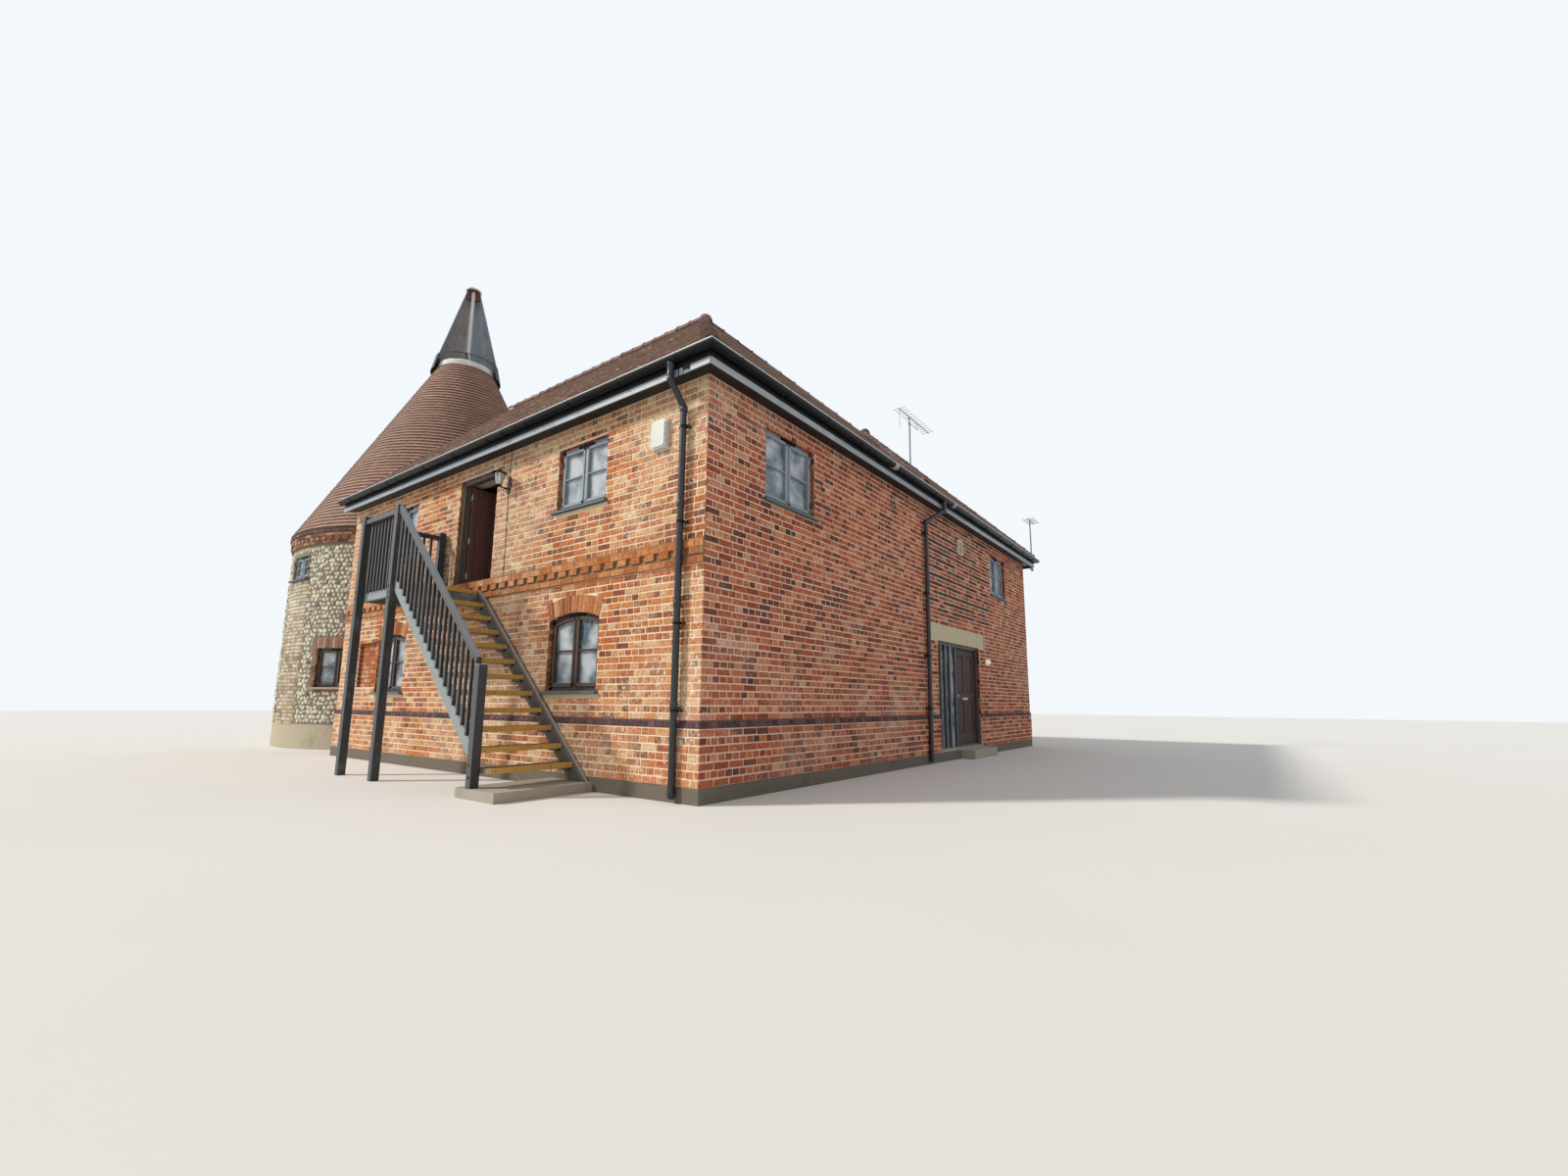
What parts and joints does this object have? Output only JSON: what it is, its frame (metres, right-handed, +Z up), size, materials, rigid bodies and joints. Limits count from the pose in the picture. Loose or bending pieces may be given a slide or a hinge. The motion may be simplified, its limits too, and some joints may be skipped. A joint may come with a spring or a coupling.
{
  "type": "oast house",
  "caption": "Brick oast house with two hipped ranges, a round flint kiln under a tiled cone with a turning cowl, and an outside stair.",
  "frame": {"origin": "middle of the brick house's footprint, on the underside of its footing at ground level", "axes": "+X along the stair face towards the free corner, +Y from the stair face into the building, +Z up"},
  "size_m": [15.4699, 13.555, 12.035],
  "materials": {
    "brick": "matt red-brown brick in English bond with pale mortar",
    "concrete": "matt",
    "lintel_stone": "matt",
    "floor_boards": "matt",
    "roof_tiles": "matt, weathered plain clay tiles",
    "eaves_boards": "painted, low gloss",
    "gutter_plastic": "gloss",
    "lead": "matt mortar and lead",
    "frame_paint": "painted, satin",
    "sill_paint": "painted, satin",
    "window_glass": "clear",
    "door_timber": "stained, satin",
    "stair_timber": "stained, matt",
    "nosing_strip": "matt",
    "flint": "matt flints in mortar",
    "plinth_render": "matt",
    "cowl_timber": "painted, weathered",
    "cowl_skirt": "tarred, matt",
    "black_metal": "satin",
    "box_plastic": "matt",
    "aerial_metal": "satin"
  },
  "bodies": {
    "building": {"footing": "concrete", "ground_floor": "concrete", "upper_floor": "floor_boards", "kiln_floors": "floor_boards", "front_wall_west": "brick", "front_wall_below_door": "brick", "front_wall_over_door": "brick", "front_wall_east": "brick", "east_wall_south": "brick", "east_wall_over_door": "brick", "east_wall_north": "brick", "back_wall": "brick", "west_wall": "brick", "west_gables": "brick", "side_lintel": "lintel_stone", "dentil_band": "brick", "eaves": "eaves_boards", "gutters": "gutter_plastic", "downpipes": "gutter_plastic", "roof_outer_slopes": "roof_tiles", "roof_inner_slopes": "roof_tiles", "roof_hip_slopes": "roof_tiles", "ridge_tiles": "roof_tiles", "valley_gutter": "lead", "window_frames": "frame_paint", "front_window_glass": "window_glass", "end_window_glass": "window_glass", "back_window_glass": "window_glass", "kiln_window_glass": "window_glass", "window_sills": "sill_paint", "upper_door_frame": "frame_paint", "upper_door": "door_timber", "side_door_frame": "frame_paint", "side_step": "concrete", "stair_strings": "stair_timber", "stair_treads": "stair_timber", "stair_nosings": "nosing_strip", "stair_balustrade": "stair_timber", "landing_deck": "stair_timber", "landing_posts": "stair_timber", "landing_balustrades": "stair_timber", "stair_pad": "concrete", "kiln_wall_front": "flint", "kiln_wall_house": "flint", "kiln_wall_back": "flint", "kiln_wall_west": "flint", "kiln_plinth": "plinth_render", "kiln_cornice": "brick", "kiln_roof_front": "roof_tiles", "kiln_roof_house": "roof_tiles", "kiln_roof_back": "roof_tiles", "kiln_roof_west": "roof_tiles", "cowl_bearing": "lead", "wall_lights": "black_metal", "wall_boxes": "box_plastic", "roof_aerials": "aerial_metal"},
    "side_door": {"side_door": "door_timber"},
    "cowl": {"cowl_hood": "cowl_timber", "cowl_skirt": "cowl_skirt", "cowl_post": "cowl_timber"}
  },
  "joints": [
    {"name": "side_door_hinge", "type": "hinge", "parent": "building", "child": "side_door", "pos_m": [4.296, 2.2575, 1.2], "axis": [0, 0, -1], "range_deg": [0, 90]},
    {"name": "cowl_turn", "type": "hinge", "parent": "building", "child": "cowl", "pos_m": [-7.45, -2.6, 9.6], "axis": [0, 0, 1], "continuous": true}
  ]
}
